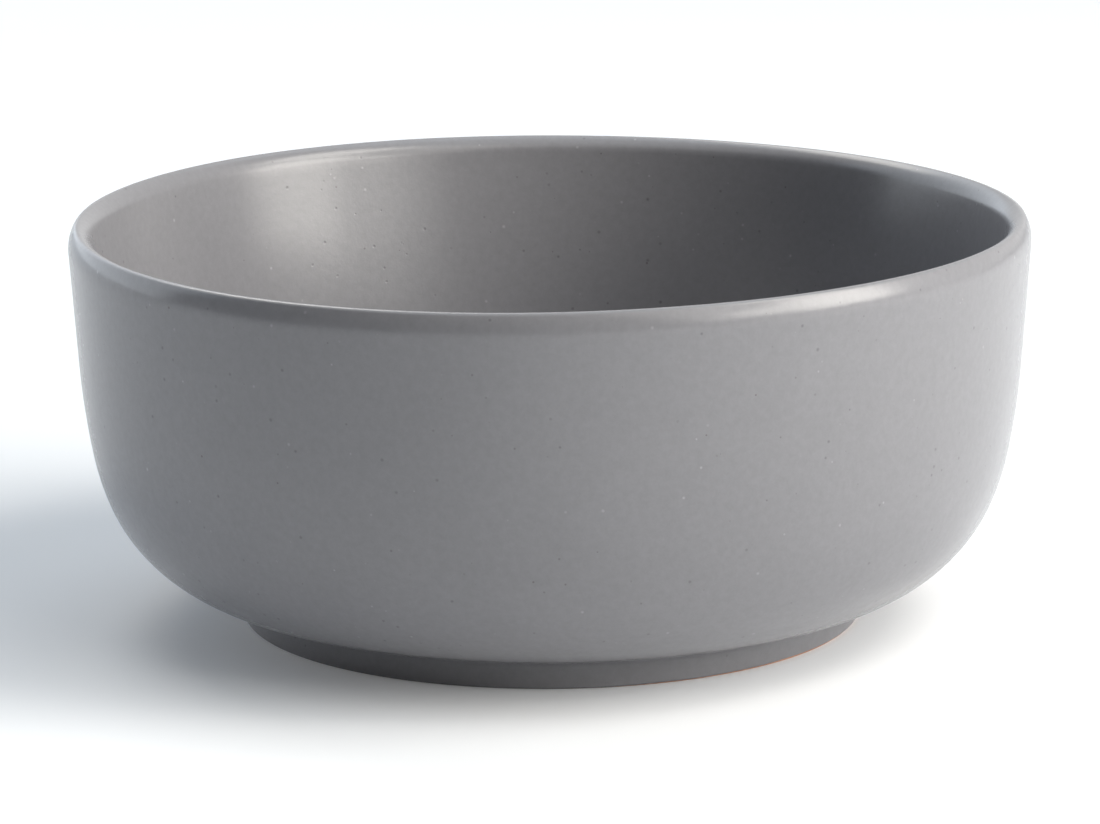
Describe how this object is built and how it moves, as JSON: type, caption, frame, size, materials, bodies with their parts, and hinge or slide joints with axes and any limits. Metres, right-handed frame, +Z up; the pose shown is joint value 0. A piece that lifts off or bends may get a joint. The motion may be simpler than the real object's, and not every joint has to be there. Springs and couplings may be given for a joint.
{
  "type": "cereal bowl",
  "caption": "Round stoneware bowl with nearly upright walls, a soft rounded lip, a matte grey glaze and a low unglazed foot ring.",
  "frame": {"origin": "centre of the foot ring's standing face, on the surface that the bowl stands on", "axes": "+Z up along the bowl's axis of turning, towards the open mouth; the form is round, so +X and +Y are level and otherwise free"},
  "size_m": [0.152, 0.152, 0.064],
  "materials": {
    "fired_clay": "matte",
    "grey_glaze": "satin",
    "grey_glaze_under": "satin"
  },
  "bodies": {
    "root": {"clay_body": "fired_clay", "glaze_coat": "grey_glaze", "underside_glaze": "grey_glaze_under"}
  },
  "joints": []
}
